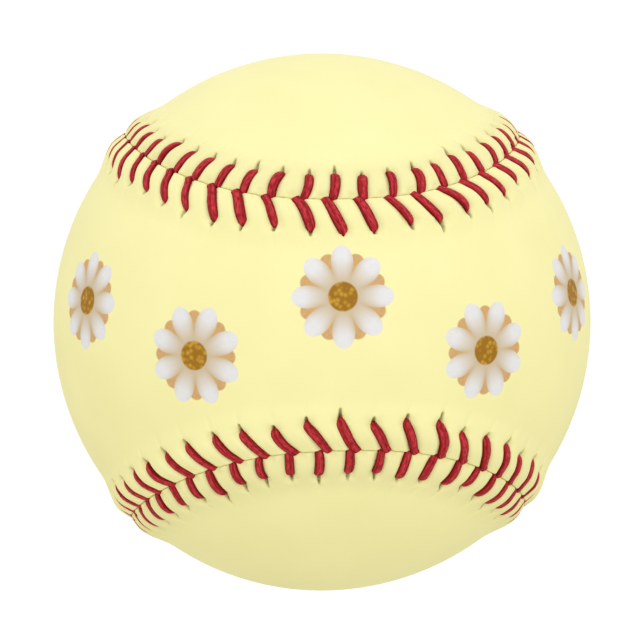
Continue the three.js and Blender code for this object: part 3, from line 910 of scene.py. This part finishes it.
def add_camera():
    """The photo's camera. It looks along +Y, and is then turned round the ball by the reverse of the
    ball's small turn, because the ball itself stays unturned. The view keeps the colours as they
    are."""
    camera = bpy.data.objects.new("camera", bpy.data.cameras.new("camera"))
    bpy.context.scene.collection.objects.link(camera)
    camera.data.lens = CAMERA_LENS
    camera.data.sensor_width = CAMERA_SENSOR
    camera.data.clip_start = CAMERA_NEAREST
    camera.data.clip_end = CAMERA_FARTHEST
    looking = Matrix.Rotation(math.pi / 2, 3, "X")
    turned = BALL_TURN.to_matrix().inverted()
    place = turned @ Vector((0, -CAMERA_DISTANCE, 0))
    camera.matrix_world = Matrix.LocRotScale(place, (turned @ looking).to_quaternion(), None)
    bpy.context.scene.camera = camera
    bpy.context.scene.view_settings.view_transform = "Standard"


def add_surround():
    """White all round, which shines on the ball and looks whiter than it shines."""
    world = bpy.data.worlds.new("white_surround")
    world.use_nodes = True
    bpy.context.scene.world = world
    background = world.node_tree.nodes["Background"]
    background.inputs["Color"].default_value = WHITE
    seen = world.node_tree.nodes.new("ShaderNodeLightPath")
    strength = world.node_tree.nodes.new("ShaderNodeMapRange")
    strength.inputs["To Min"].default_value = SURROUND_LIGHT
    strength.inputs["To Max"].default_value = SEEN_WHITE
    world.node_tree.links.new(seen.outputs["Is Camera Ray"], strength.inputs["Value"])
    world.node_tree.links.new(strength.outputs["Result"], background.inputs["Strength"])


def add_softbox():
    """A square soft light in front of the ball and a little above, which faces it."""
    light = bpy.data.lights.new("front_softbox", "AREA")
    light.size = SOFTBOX_SIZE
    light.energy = SOFTBOX_POWER
    lamp = bpy.data.objects.new("front_softbox", light)
    lamp.location = SOFTBOX_PLACE
    lamp.rotation_euler = (-Vector(SOFTBOX_PLACE)).to_track_quat("-Z", "Y").to_euler()
    bpy.context.scene.collection.objects.link(lamp)


def add_floor():
    """A white light table under the ball, which looks whiter than it shines."""
    level = (REST_LEVEL - FLOOR_GAP) * MM
    signs = ((-1, -1), (1, -1), (1, 1), (-1, 1))
    corners = [(x * FLOOR_REACH, y * FLOOR_REACH, level) for x, y in signs]
    mesh = bpy.data.meshes.new("floor")
    mesh.from_pydata(corners, [], [(0, 1, 2, 3)])
    floor = bpy.data.objects.new("floor", mesh)
    bpy.context.scene.collection.objects.link(floor)
    shader = Shader("white_light_table")
    seen = shader.node("ShaderNodeLightPath", {}).outputs["Is Camera Ray"]
    strength = shader.ramp(seen, 0, 1, start=TABLE_LIGHT, end=SEEN_WHITE)
    tint = shader.mix(seen, TABLE_TINT, WHITE)
    glow = shader.node("ShaderNodeEmission", {"Color": tint, "Strength": strength})
    shader.feed(shader.tree.nodes["Material Output"], {"Surface": glow.outputs["Emission"]})
    mesh.materials.append(shader.material)


def add_ball():
    """The covers and the two threads, in place of their plain nodes."""
    plain = leather_material("pale_yellow_leather", False)
    printed = leather_material("printed_yellow_leather", True)
    waxed = thread_material()
    pieces = (
        (cover(FRONT, "front_leather_cover", printed), "front_cover", "leather"),
        (cover(BACK, "back_leather_cover", plain), "back_cover", "leather"),
        (thread(FRONT, BACK, "first_red_thread", waxed), "first_needle_thread", "seam_thread"),
        (thread(BACK, FRONT, "second_red_thread", waxed), "second_needle_thread", "seam_thread"),
    )
    for piece, node, slot in pieces:
        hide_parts(node)
        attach(piece, "root")


def dress_inside():
    """Gives each inner piece of the part its finish."""
    grey_wool = wound_yarn_material(
        "grey_wool_yarn", GREY_WOOL_SHADED, GREY_WOOL_LIT, GREY_WOOL_WIDTH
    )
    white_wool = wound_yarn_material(
        "white_wool_yarn", WHITE_WOOL_SHADED, WHITE_WOOL_LIT, WHITE_WOOL_WIDTH
    )
    finishing_yarn = wound_yarn_material(
        "fine_finishing_yarn", FINISHING_YARN_SHADED, FINISHING_YARN_LIT, FINISHING_YARN_WIDTH
    )
    black_rubber = rubber_material("black_moulded_rubber", BLACK_RUBBER, BLACK_RUBBER_DUSTY)
    red_rubber = rubber_material("red_moulded_rubber", RED_RUBBER, RED_RUBBER_DUSTY)
    finishes = {
        "cork_core": cork_material(),
        "black_rubber_shell_upper": black_rubber,
        "black_rubber_shell_lower": black_rubber,
        "rubber_gasket": red_rubber,
        "red_rubber_shell_right": red_rubber,
        "red_rubber_shell_left": red_rubber,
        "inner_grey_winding": grey_wool,
        "white_winding": white_wool,
        "outer_grey_winding": grey_wool,
        "finishing_winding": finishing_yarn,
    }
    for name, material in finishes.items():
        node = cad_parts[name]
        node.data.materials.clear()
        node.data.materials.append(material)


add_camera()
add_surround()
add_softbox()
add_floor()
add_ball()
dress_inside()
